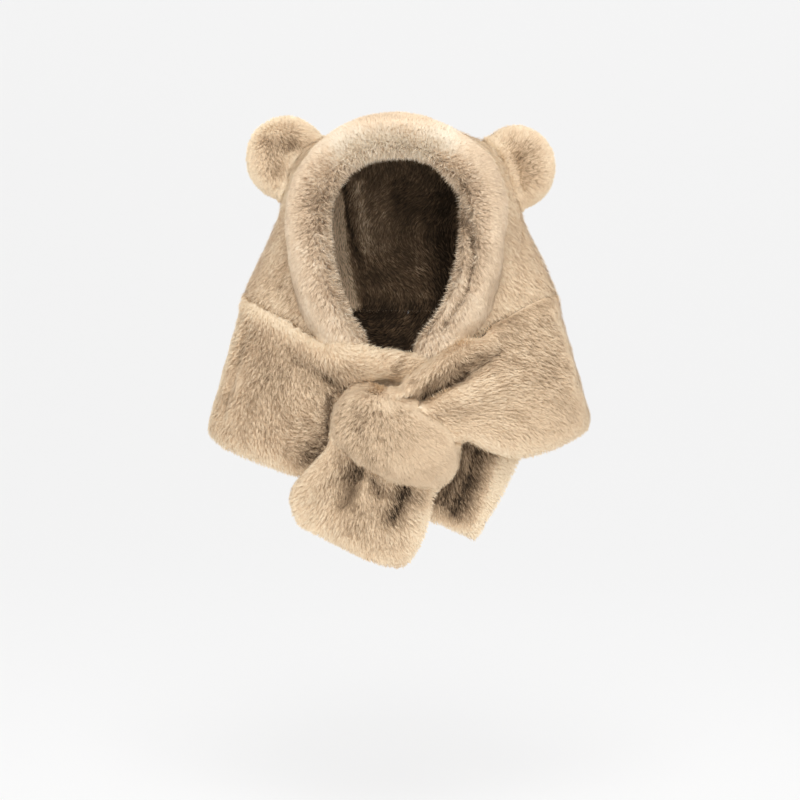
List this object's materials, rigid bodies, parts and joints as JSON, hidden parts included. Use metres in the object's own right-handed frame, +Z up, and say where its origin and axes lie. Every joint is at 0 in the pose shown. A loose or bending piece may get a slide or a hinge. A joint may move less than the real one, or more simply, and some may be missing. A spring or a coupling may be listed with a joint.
{
  "type": "animal hood scarf",
  "caption": "Plush hood with round bear ears, a rolled brim round the face and crossed scarf ends held by a keeper loop, kept in its worn form.",
  "frame": {"origin": "inside of the crown, where the hood sits on top of the head", "axes": "+Z up, face opening towards -Y, +X to the viewer's right, millimetre model stored in metres"},
  "size_m": [0.3866, 0.2575, 0.4378],
  "materials": {
    "plush": "combed camel-beige plush pile",
    "brim_plush": "lighter cream-beige plush pile",
    "lining": "short dark brown plush lining"
  },
  "bodies": {
    "root": {"hood_shell": "plush", "hood_lining": "lining", "brim_roll": "brim_plush", "ear_left": "plush", "ear_right": "plush", "scarf_left": "plush", "scarf_right": "plush", "keeper_loop": "plush"}
  },
  "joints": []
}
